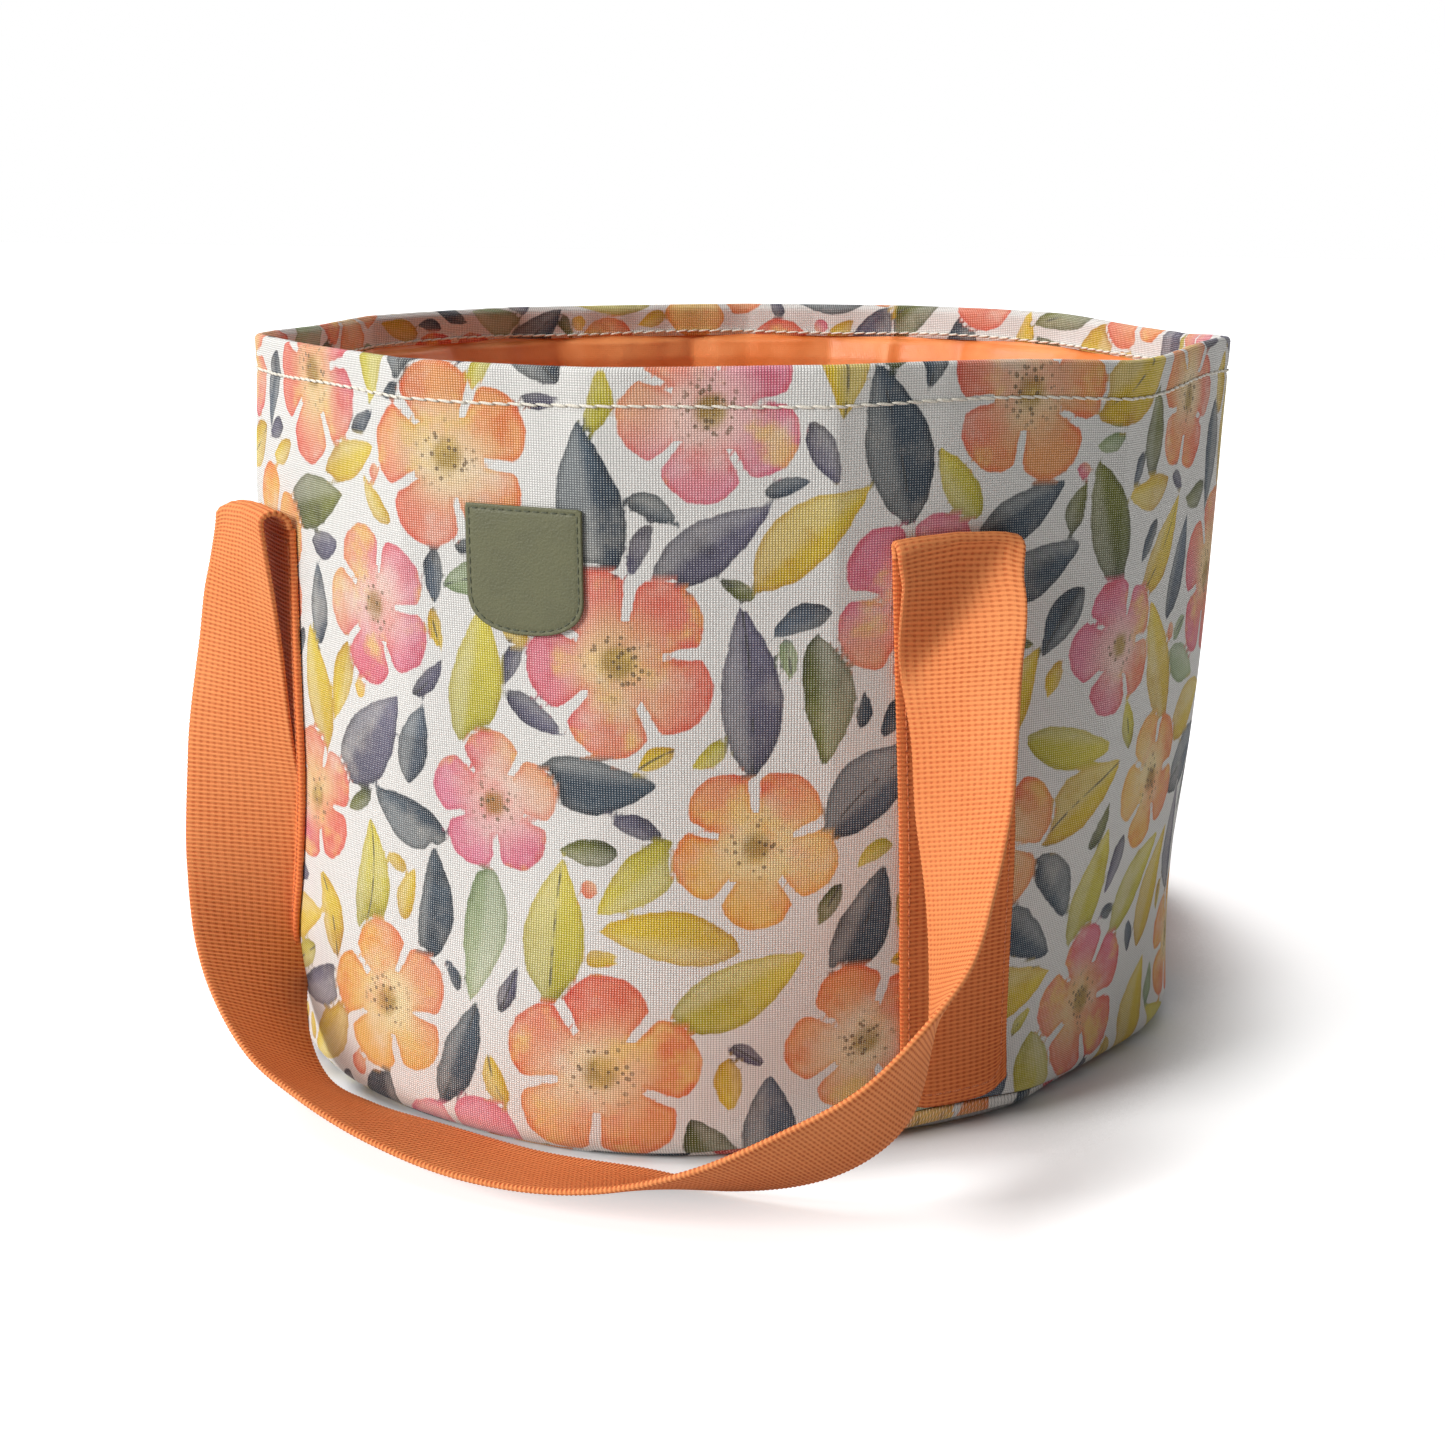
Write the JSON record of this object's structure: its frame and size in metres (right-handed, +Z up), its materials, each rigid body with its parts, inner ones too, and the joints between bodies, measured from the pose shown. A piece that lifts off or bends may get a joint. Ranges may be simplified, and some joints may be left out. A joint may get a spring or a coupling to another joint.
{
  "type": "fruit picking bag",
  "caption": "Round free-standing fabric harvest bag with a printed canvas outside, coated lining and webbing handles that hang down outside and lift over the rim.",
  "frame": {"origin": "centre of the flat base, on the surface that the bag stands on", "axes": "+Z up, the label faces -Y, +X to the right when the label is seen from the front"},
  "size_m": [0.31, 0.388, 0.224],
  "materials": {
    "printed_canvas": "woven canvas, watercolour style print on off-white",
    "webbing": "ribbed orange webbing with a soft sheen",
    "lining": "coated orange lining, smooth and slightly shiny",
    "label": "olive leatherette, matt, bare",
    "padding": "soft grey padding",
    "board": "plain grey board"
  },
  "bodies": {
    "bag": {"outer_wall": "printed_canvas", "outer_base": "printed_canvas", "wall_interlining": "padding", "base_board": "board", "lining_wall": "lining", "lining_base": "lining", "label_patch": "label", "front_left_strip": "webbing", "front_left_fold": "webbing", "front_right_strip": "webbing", "front_right_fold": "webbing", "back_left_strip": "webbing", "back_left_fold": "webbing", "back_right_strip": "webbing", "back_right_fold": "webbing"},
    "front_handle": {"front_handle_loop": "webbing"},
    "back_handle": {"back_handle_loop": "webbing"}
  },
  "joints": [
    {"name": "front_handle_lift", "type": "hinge", "parent": "bag", "child": "front_handle", "pos_m": [0, -0.1114, 0.172], "axis": [-1, 0, 0], "range_deg": [0, 165], "deforming": ["front_left_fold", "front_right_fold"]},
    {"name": "back_handle_lift", "type": "hinge", "parent": "bag", "child": "back_handle", "pos_m": [0, 0.1114, 0.172], "axis": [1, 0, 0], "range_deg": [0, 165], "deforming": ["back_left_fold", "back_right_fold"]}
  ]
}
